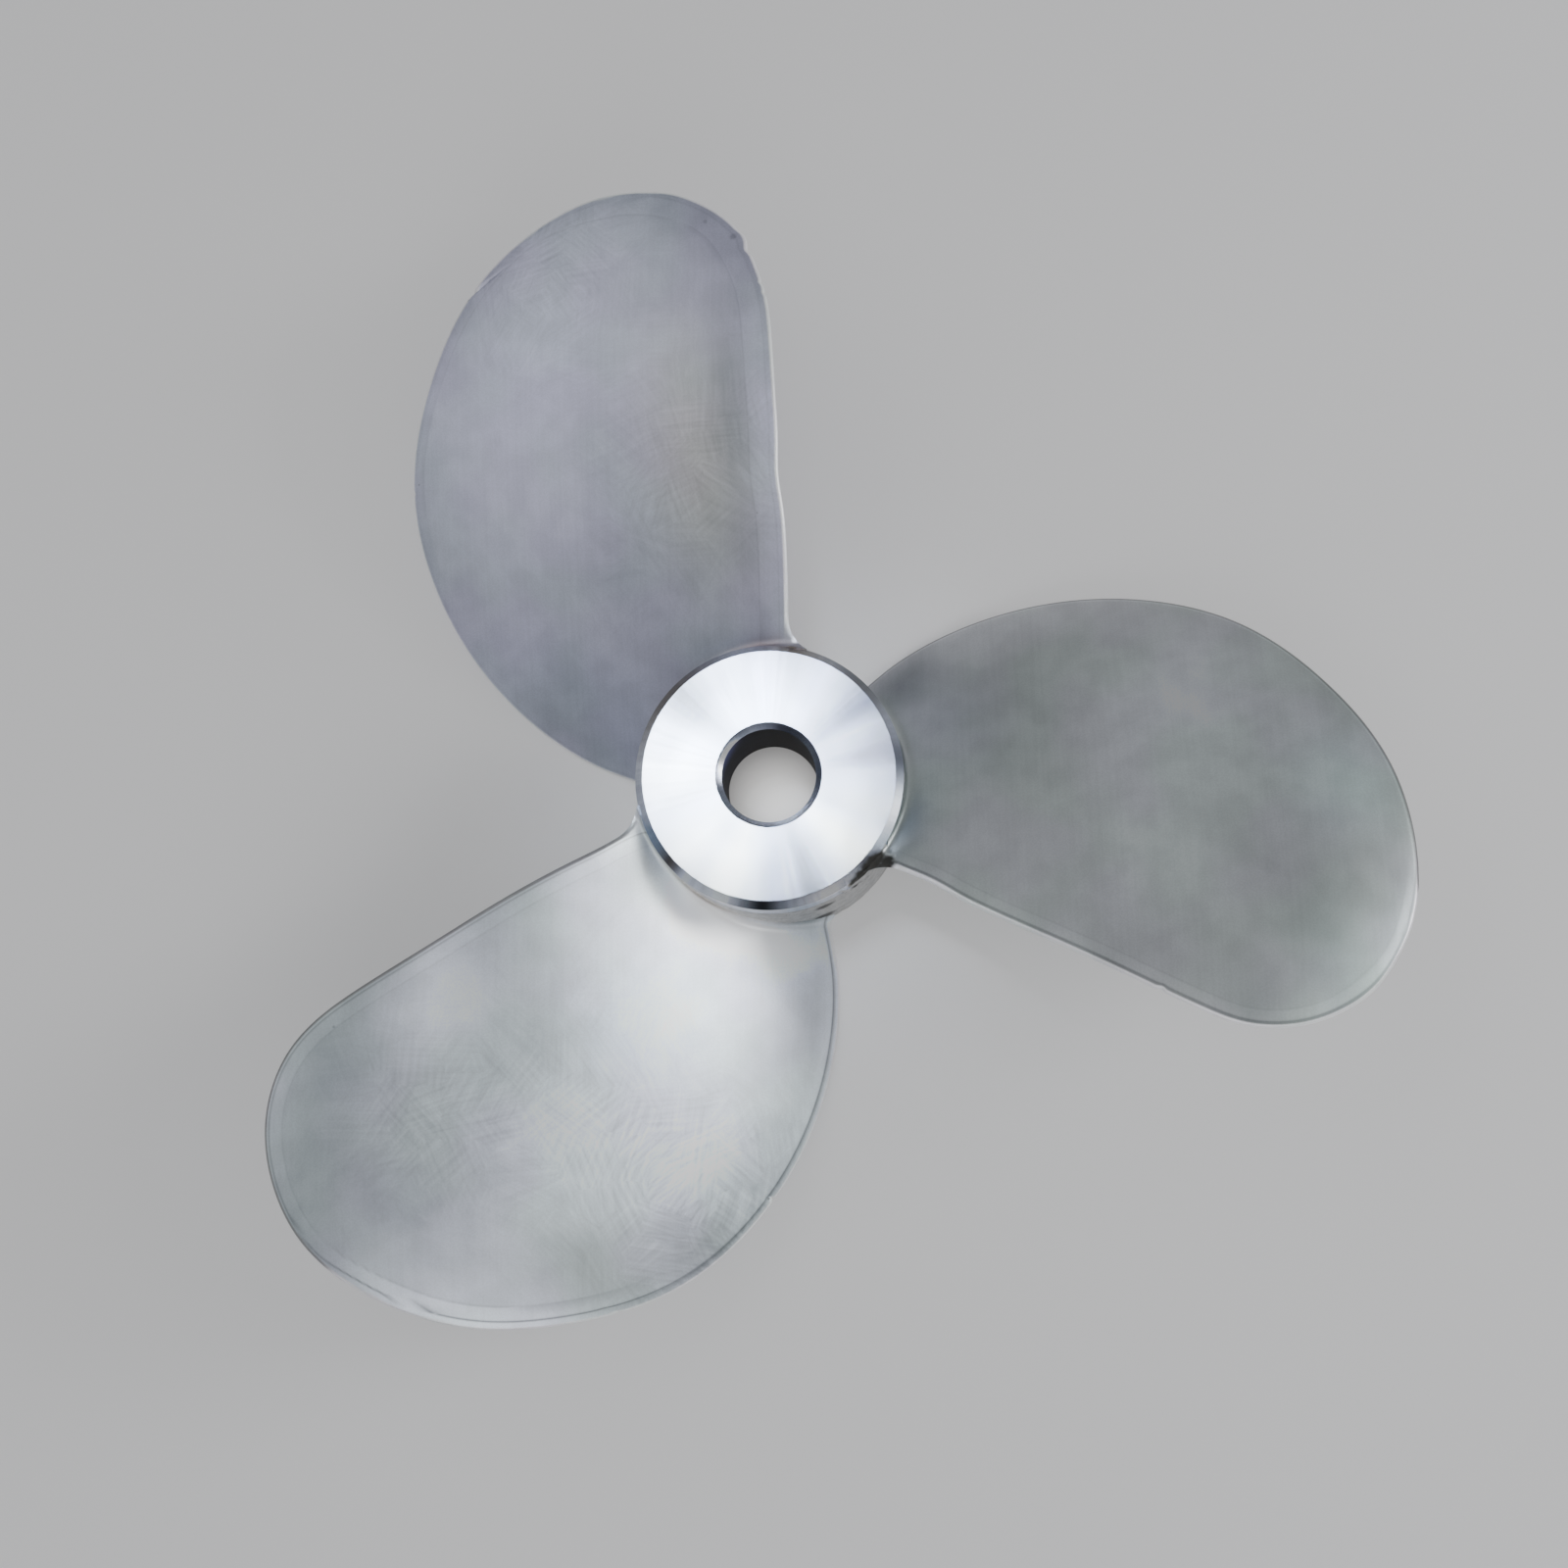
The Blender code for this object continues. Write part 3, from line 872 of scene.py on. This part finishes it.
def mark_hub(mesh):
    """Gives each face of the hub its finish."""
    for face in mesh.polygons:
        centre = np.array(face.center)
        radius = math.hypot(centre[0], centre[1]) - FACE_SLACK
        below_mouth = centre[2] < FACE_Z - BORE_CHAMFER
        if radius < BORE_RADIUS or (radius < RECESS_RADIUS and below_mouth):
            face.material_index = BORE
        elif centre[2] > FACE_Z - COLLAR_LENGTH and pad_cover(centre) < 0.5:
            face.material_index = TURNED
        else:
            face.material_index = CAST


def write_finish(mesh, points, finishes):
    """Stores on each vertex of the mesh the finish of the nearest of the points."""
    tree = search_tree(points)
    nearest = [tree.find(vertex.co)[1] for vertex in mesh.vertices]
    found = finishes[nearest]
    tone = np.ones((len(found), 4))
    tone[:, :3] = found[:, :3]
    mesh.attributes.new("tone", "FLOAT_COLOR", "POINT").data.foreach_set("color", tone.ravel())
    wear_and_shadow = np.ascontiguousarray(found[:, 3:])
    mesh.attributes.new("wear_and_shadow", "FLOAT_VECTOR", "POINT").data.foreach_set("vector", wear_and_shadow.ravel())


def casting(materials):
    """Hub and blades as one closed mesh."""
    hub_verts, hub_faces, finish = hub_mesh()
    hub = mesh_object("propeller_casting", hub_verts, hub_faces)
    for material in materials:
        hub.data.materials.append(material)
    mark_hub(hub.data)
    points, finishes, blades = [hub_verts], [finish], []
    for index in range(BLADE_COUNT):
        verts, faces, finish = blade_mesh(index)
        radius, angle = radius_and_angle(verts)
        verts[:, :2] = polar(radius, angle + blade_line(index))
        blade = mesh_object(f"blade_{index}", verts, faces)
        points.append(verts)
        finishes.append(finish)
        blades.append(blade)
        union = hub.modifiers.new("Union", "BOOLEAN")
        union.operation = "UNION"
        union.solver = "EXACT"
        union.object = blade
    graph = bpy.context.evaluated_depsgraph_get()
    mesh = bpy.data.meshes.new_from_object(hub.evaluated_get(graph))
    hub.modifiers.clear()
    hub.data = mesh
    for blade in blades:
        bpy.data.objects.remove(blade)
    mesh.shade_smooth()
    mesh.set_sharp_from_angle(angle=SHARP_ANGLE)
    write_finish(mesh, np.vstack(points), np.vstack(finishes))
    return hub


class Paint:
    """A material being built, with short calls for its nodes."""

    def __init__(self, name):
        self.material = bpy.data.materials.new(name)
        self.material.use_nodes = True
        self.tree = self.material.node_tree
        self.shader = self.tree.nodes["Principled BSDF"]

    def put(self, socket, value):
        if isinstance(value, bpy.types.NodeSocket):
            self.tree.links.new(value, socket)
        else:
            socket.default_value = value

    def set(self, name, value):
        self.put(self.shader.inputs[name], value)

    def add(self, kind, inputs, **settings):
        node = self.tree.nodes.new(kind)
        for key, value in settings.items():
            setattr(node, key, value)
        for key, value in inputs.items():
            self.put(node.inputs[key], value)
        return node

    def math(self, operation, first, second=0.0):
        return self.add("ShaderNodeMath", {0: first, 1: second}, operation=operation).outputs[0]

    def product(self, first, *others):
        for other in others:
            first = self.math("MULTIPLY", first, other)
        return first

    def rest(self, share):
        """What a share leaves of one."""
        return self.math("SUBTRACT", 1.0, share)

    def vector(self, operation, first, second=(0.0, 0.0, 0.0), scale=1.0):
        inputs = {0: first, 3: scale} if operation == "SCALE" else {0: first, 1: second}
        return self.add("ShaderNodeVectorMath", inputs, operation=operation).outputs[0]

    def spread(self, value, low, high, to_low, to_high):
        """Value carried smoothly from one range to another and held at its ends."""
        inputs = {0: value, 1: low, 2: high, 3: to_low, 4: to_high}
        return self.add("ShaderNodeMapRange", inputs, interpolation_type="SMOOTHSTEP").outputs[0]

    def vary(self, cloud, to_low, to_high):
        """Noise as a tone, its usual range carried to a range of tones."""
        return self.spread(cloud, 0.3, 0.7, to_low, to_high)

    def mix(self, share, first, second):
        inputs = {0: share, 6: first, 7: second}
        return self.add("ShaderNodeMix", inputs, data_type="RGBA").outputs[2]

    def tint(self, colour, factor):
        return self.vector("MULTIPLY", colour, factor)

    def noise(self, place, size, detail=1.0, dimensions="3D"):
        """Cloudy noise between zero and one whose lumps are about as large as the size."""
        inputs = {"Vector": place, "Scale": 1.0 / size, "Detail": detail}
        return self.add("ShaderNodeTexNoise", inputs, noise_dimensions=dimensions).outputs[0]

    def attribute(self, name, output):
        return self.add("ShaderNodeAttribute", {}, attribute_name=name).outputs[output]

    def millimetres(self):
        place = self.add("ShaderNodeTexCoord", {}).outputs["Object"]
        return self.vector("SCALE", place, scale=1000.0)

    def turned(self, place, angle):
        """Place turned about the shaft axis."""
        inputs = {"Vector": place, "Angle": angle}
        return self.add("ShaderNodeVectorRotate", inputs, rotation_type="Z_AXIS").outputs[0]

    def bump(self, height, depth):
        """Relief of a height between zero and one, of the given depth in metres."""
        inputs = {"Height": height, "Distance": depth, "Strength": 1.0}
        self.set("Normal", self.add("ShaderNodeBump", inputs).outputs[0])

    def distance(self, place, centre):
        inputs = {0: place, 1: centre}
        return self.add("ShaderNodeVectorMath", inputs, operation="DISTANCE").outputs["Value"]

    def length(self, place):
        return self.add("ShaderNodeVectorMath", {0: place}, operation="LENGTH").outputs["Value"]

    def wear_and_shadow(self):
        """The dark marks of dirt and painted shadow, the strokes and the polish that the mesh carries."""
        return self.add("ShaderNodeSeparateXYZ", {0: self.attribute("wear_and_shadow", 1)}).outputs

    def finish(self, colour, roughness, metallic):
        self.set("Base Color", colour)
        self.set("Roughness", roughness)
        self.set("Metallic", metallic)
        return self.material


# Colours and roughness of the finishes
GROUND_LEVEL, GROUND_ROUGHNESS = 0.64, 0.37
# The turned colour's blue cast is a painted reflection colour of the bright face
TURNED_COLOUR, TURNED_ROUGHNESS = (0.56, 0.61, 0.74), 0.27
CAST_LEVELS, CAST_ROUGHNESS = (0.44, 0.58), 0.5
# The bore's near-black bluish colour is painted shade of the deep bore
BORE_COLOUR, BORE_LEVELS, BORE_ROUGHNESS = (0.80, 0.86, 2.20), (0.008, 0.018), 0.6
# Colour of the dark marks of dirt and painted shadow, and of the pits
DIRT_AND_SHADOW_COLOUR = (0.016, 0.015, 0.012, 1.0)


def strokes(paint, place, wander, cell, shift):
    """Short parallel strokes that change direction from one small patch to the next."""
    moved = paint.vector("ADD", wander, paint.vector("ADD", place, shift))
    inputs = {"Vector": moved, "Scale": 1.0 / cell}
    cells = paint.add("ShaderNodeTexVoronoi", inputs, voronoi_dimensions="2D").outputs["Color"]
    share = paint.add("ShaderNodeSeparateXYZ", {0: cells}).outputs[0]
    along = paint.turned(place, paint.product(share, math.pi))
    return paint.noise(paint.vector("MULTIPLY", along, (0.06, 0.9, 0.0)), 1.0, 1.0, "2D")


def dirtied_and_shaded(paint, colour, dirt_and_shadow, place):
    """Colour with slightly ragged dark marks over it, dirt and painted shadow, and how much of it they
    cover.
    """
    ragged = paint.product(paint.noise(place, 1.4), 0.3)
    cover = paint.spread(paint.math("ADD", paint.math("SUBTRACT", dirt_and_shadow, 0.15), ragged), 0.15, 0.75, 0.0, 1.0)
    return paint.mix(cover, colour, DIRT_AND_SHADOW_COLOUR), cover


def ground_aluminium():
    """Hand-ground blade metal: clouded, stroked, streaked, with pits, and dark marks of dirt and painted
    shadow.
    """
    paint = Paint("ground_aluminium")
    place = paint.millimetres()
    dirt_and_shadow, stroke_share, polish = paint.wear_and_shadow()
    clouds = paint.vary(paint.noise(place, 34.0), 0.93, 1.07)
    lumps = paint.vary(paint.noise(place, 8.0), 0.95, 1.05)
    elsewhere = paint.vector("ADD", place, (310.0, 90.0, 0.0))
    hue = paint.spread(paint.noise(elsewhere, 26.0), 0.35, 0.65, 0.0, 1.0)
    hues = paint.mix(hue, (1.02, 0.99, 1.03, 1.0), (0.98, 1.01, 0.985, 1.0))
    wander = paint.add("ShaderNodeTexNoise", {"Vector": place, "Scale": 0.12, "Detail": 0.0}).outputs[1]
    wander = paint.vector("SCALE", wander, scale=7.0)
    first = strokes(paint, place, wander, 17.0, (0.0, 0.0, 0.0))
    second = strokes(paint, place, wander, 12.0, (57.0, 21.0, 0.0))
    stroke = paint.product(paint.math("ADD", first, second), 0.5)
    stroke = paint.product(paint.math("SUBTRACT", stroke, 0.5), stroke_share)
    marks = paint.math("ADD", 1.0, paint.product(stroke, 0.65))
    lengthwise = paint.turned(place, math.radians(-69.5))
    streaks = paint.noise(paint.vector("MULTIPLY", lengthwise, (0.02, 0.9, 0.0)), 1.0, 1.0, "2D")
    streaks = paint.vary(streaks, 0.985, 1.015)
    grain = paint.noise(place, 0.45, 0.0)
    grains = paint.vary(grain, 0.97, 1.03)
    colour = paint.tint(paint.attribute("tone", 0), hues)
    level = paint.product(GROUND_LEVEL, clouds, lumps, marks, streaks, grains)
    colour = paint.vector("SCALE", colour, scale=level)
    metres = paint.add("ShaderNodeTexCoord", {}).outputs["Object"]
    pitted = 0.0
    for centre, size, darkness in pit_places():
        away = paint.distance(metres, centre)
        pitted = paint.math("MAXIMUM", pitted, paint.spread(away, 0.4 * size, 1.2 * size, darkness, 0.0))
    colour = paint.mix(pitted, colour, DIRT_AND_SHADOW_COLOUR)
    # Dark marks of dirt and painted shadow
    colour, cover = dirtied_and_shaded(paint, colour, dirt_and_shadow, place)
    roughness = paint.math("ADD", GROUND_ROUGHNESS, paint.product(stroke, 0.2))
    roughness = paint.math("ADD", roughness, paint.product(cover, 0.35))
    metallic = paint.product(paint.rest(cover), paint.rest(paint.product(polish, 0.7)))
    paint.bump(grain, 0.000004)
    return paint.finish(colour, roughness, metallic)


def pit_places():
    """Centres in space, sizes and darkness of the pits."""
    places = []
    for blade, radius, degrees, size, darkness in PITS:
        angle = math.radians(degrees)
        height = blade_height(radius, angle) + EDGE_THICKNESS / 2.0
        centre = (*polar(radius, angle + blade_line(blade)), height)
        places.append((centre, size, darkness))
    return places


def turned_aluminium():
    """Bright face-turned metal with fine rings, faint spokes and soft clouds."""
    paint = Paint("turned_aluminium")
    place = paint.millimetres()
    parts = paint.add("ShaderNodeSeparateXYZ", {0: place}).outputs
    flat = paint.add("ShaderNodeCombineXYZ", {0: parts[0], 1: parts[1], 2: 0.0}).outputs[0]
    radius = paint.length(flat)
    ring_place = paint.add("ShaderNodeCombineXYZ", {0: radius, 1: 0.0, 2: parts[2]}).outputs[0]
    rings = paint.noise(ring_place, 0.35, 2.0)
    spoke = paint.add("ShaderNodeVectorMath", {0: flat}, operation="NORMALIZE").outputs[0]
    spokes = paint.vary(paint.noise(spoke, 0.045, 1.0, "2D"), 0.93, 1.06)
    clouds = paint.vary(paint.noise(place, 12.0), 0.84, 1.08)
    level = paint.product(clouds, spokes, paint.vary(rings, 0.96, 1.03))
    colour = paint.tint(paint.attribute("tone", 0), TURNED_COLOUR)
    colour = paint.vector("SCALE", colour, scale=level)
    colour, cover = dirtied_and_shaded(paint, colour, paint.wear_and_shadow()[0], place)
    paint.set("Anisotropic", 0.5)
    tangent = paint.add("ShaderNodeTangent", {}, direction_type="RADIAL", axis="Z").outputs[0]
    paint.set("Tangent", tangent)
    paint.bump(rings, 0.000002)
    roughness = paint.math("ADD", TURNED_ROUGHNESS, paint.product(cover, 0.4))
    return paint.finish(colour, roughness, paint.rest(cover))


def cast_skin():
    """Rough grey casting skin with pores."""
    paint = Paint("cast_aluminium_skin")
    place = paint.millimetres()
    lumps = paint.noise(place, 2.2, 4.0)
    pores = paint.spread(paint.noise(place, 0.9), 0.28, 0.42, 0.70, 1.0)
    level = paint.product(paint.vary(lumps, *CAST_LEVELS), pores)
    colour = paint.vector("SCALE", paint.attribute("tone", 0), scale=level)
    colour, cover = dirtied_and_shaded(paint, colour, paint.wear_and_shadow()[0], place)
    paint.bump(paint.product(lumps, pores), 0.00006)
    return paint.finish(colour, CAST_ROUGHNESS, paint.rest(cover))


def bored_aluminium():
    """Wall of the bore, painted near black and bluish as painted shade of the deep bore, with faint rings.
    """
    paint = Paint("bored_aluminium")
    place = paint.millimetres()
    rings = paint.noise(paint.vector("MULTIPLY", place, (0.05, 0.05, 2.0)), 1.0, 2.0)
    colour = paint.tint(paint.attribute("tone", 0), BORE_COLOUR)
    colour = paint.vector("SCALE", colour, scale=paint.vary(rings, *BORE_LEVELS))
    paint.set("Specular IOR Level", 0.05)
    return paint.finish(colour, BORE_ROUGHNESS, 0.0)


# Glow of the floor, stronger under the bore, and distances from the axis where each fades
FLOOR_GLOW = 0.22
BORE_GLOW = 2.5
BORE_GLOW_ENDS = (0.020, 0.034)
FLOOR_ENDS = (0.9, 3.4)
FLOOR_COLOUR = (0.62, 0.62, 0.63, 1.0)
GLOW_COLOUR = (1.0, 0.985, 0.97, 1.0)


def pale_floor():
    """Pale floor, lit a little from below, that fades out far from the part."""
    paint = Paint("pale_floor")
    place = paint.add("ShaderNodeTexCoord", {}).outputs["Object"]
    away = paint.length(place)
    glow = paint.spread(away, *BORE_GLOW_ENDS, BORE_GLOW, FLOOR_GLOW)
    paint.set("Emission Color", GLOW_COLOUR)
    paint.set("Emission Strength", glow)
    material = paint.finish(FLOOR_COLOUR, 0.6, 0.0)
    material.cycles.emission_sampling = "NONE"
    clear = paint.add("ShaderNodeBsdfTransparent", {}).outputs[0]
    inputs = {0: paint.spread(away, *FLOOR_ENDS, 0.0, 1.0), 1: paint.shader.outputs[0], 2: clear}
    faded = paint.add("ShaderNodeMixShader", inputs).outputs[0]
    paint.put(paint.tree.nodes["Material Output"].inputs["Surface"], faded)
    return material


# Camera, fitted to the photograph
FOCAL_PIXELS = 1941.0
PICTURE_PIXELS = 1600.0
SENSOR_WIDTH = 36.0
METRES_PER_PIXEL = 0.0002625
TILT = (-0.0549, 0.1811)
LINE_ANGLE = math.radians(110.49)
FACE_CENTRE_PIXEL = (784.17, 790.25)


def photo_camera():
    """Camera that sees the hub's face where, and turned as, the photograph shows it."""
    tilt = Vector((-TILT[1], TILT[0], 0.0))
    turn = Matrix.Rotation(tilt.length, 3, tilt.normalized())
    roll = Matrix.Rotation(math.pi / 2.0 - LINE_ANGLE, 3, "Z")
    middle = PICTURE_PIXELS / 2.0
    offset = Vector((FACE_CENTRE_PIXEL[0] - middle, middle - FACE_CENTRE_PIXEL[1], 0.0))
    rotation = roll @ turn.transposed()
    place = rotation @ (Vector((0.0, 0.0, FOCAL_PIXELS)) - offset) * METRES_PER_PIXEL
    data = bpy.data.cameras.new("photo_camera")
    data.sensor_width = SENSOR_WIDTH
    data.lens = SENSOR_WIDTH * FOCAL_PIXELS / PICTURE_PIXELS
    data.clip_start = 0.01
    camera = new_object("photo_camera", data)
    camera.matrix_world = Matrix.Translation(place + Vector((0.0, 0.0, FACE_Z))) @ rotation.to_4x4()
    bpy.context.scene.camera = camera


def softbox(name, off_axis, toward, distance, size, power, spread=180.0):
    """Area light aimed at the hub, placed by its angles from the camera's axis and round it, in degrees."""
    view = bpy.context.scene.camera.matrix_world.to_3x3()
    off, turn = math.radians(off_axis), math.radians(toward)
    seen = Vector((math.sin(off) * math.cos(turn), math.sin(off) * math.sin(turn), math.cos(off)))
    direction = (view @ seen).normalized()
    data = bpy.data.lights.new(name, "AREA")
    data.shape = "SQUARE"
    data.size = size
    data.energy = power
    data.spread = math.radians(spread)
    light = new_object(name, data)
    light.location = direction * distance
    light.rotation_euler = (-direction).to_track_quat("-Z", "Y").to_euler()
    light.visible_camera = False
    return light


# Softboxes: degrees from the camera's axis, degrees round it, distance, size and power
SOFTBOXES = {
    "axis": (3.0, 100.0, 1.3, 0.5, 0.75),
    "right_near": (48.0, 8.0, 1.3, 0.4, 1.4),
    "right_far": (66.0, 15.0, 1.3, 0.45, 5.0),
    "right_low": (38.0, -30.0, 1.3, 0.6, 0.96),
    "left": (50.0, 172.0, 1.3, 1.0, 1.36),
    "left_high": (50.0, 130.0, 1.3, 0.8, 0.9),
    "low": (42.0, -85.0, 1.3, 0.8, 2.75),
}

# Small ones that the turned face reflects, with a narrow and slightly blue beam
FACE_SOFTBOXES = {
    "face": (21.7, 107.0, 0.55, 0.07, 0.0063),
    "face_side": (27.0, 118.0, 0.55, 0.07, 0.0089),
}
FACE_SPREAD = 16.0
SKY_TINT = (0.86, 0.93, 1.0)
WORLD_COLOUR = (0.97, 1.0, 1.05, 1.0)
WORLD_STRENGTH = 0.26


def studio():
    """Soft even light from all round, and the softboxes."""
    world = bpy.data.worlds.new("studio")
    bpy.context.scene.world = world
    world.use_nodes = True
    background = world.node_tree.nodes["Background"]
    background.inputs["Color"].default_value = WORLD_COLOUR
    background.inputs["Strength"].default_value = WORLD_STRENGTH
    for name, placing in SOFTBOXES.items():
        softbox(f"{name}_softbox", *placing)
    for name, placing in FACE_SOFTBOXES.items():
        light = softbox(f"{name}_softbox", *placing, FACE_SPREAD)
        light.data.color = SKY_TINT


def floor():
    """Square floor under the hub's rear face."""
    size = 4.0
    verts = [(x * size, y * size, REAR_Z) for x, y in ((-1, -1), (1, -1), (1, 1), (-1, 1))]
    made = mesh_object("floor", verts, [(0, 1, 2, 3)])
    made.data.materials.append(pale_floor())


photo_camera()
propeller = casting([ground_aluminium(), cast_skin(), turned_aluminium(), bored_aluminium()])
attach(propeller, "root")
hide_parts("propeller")
studio()
floor()
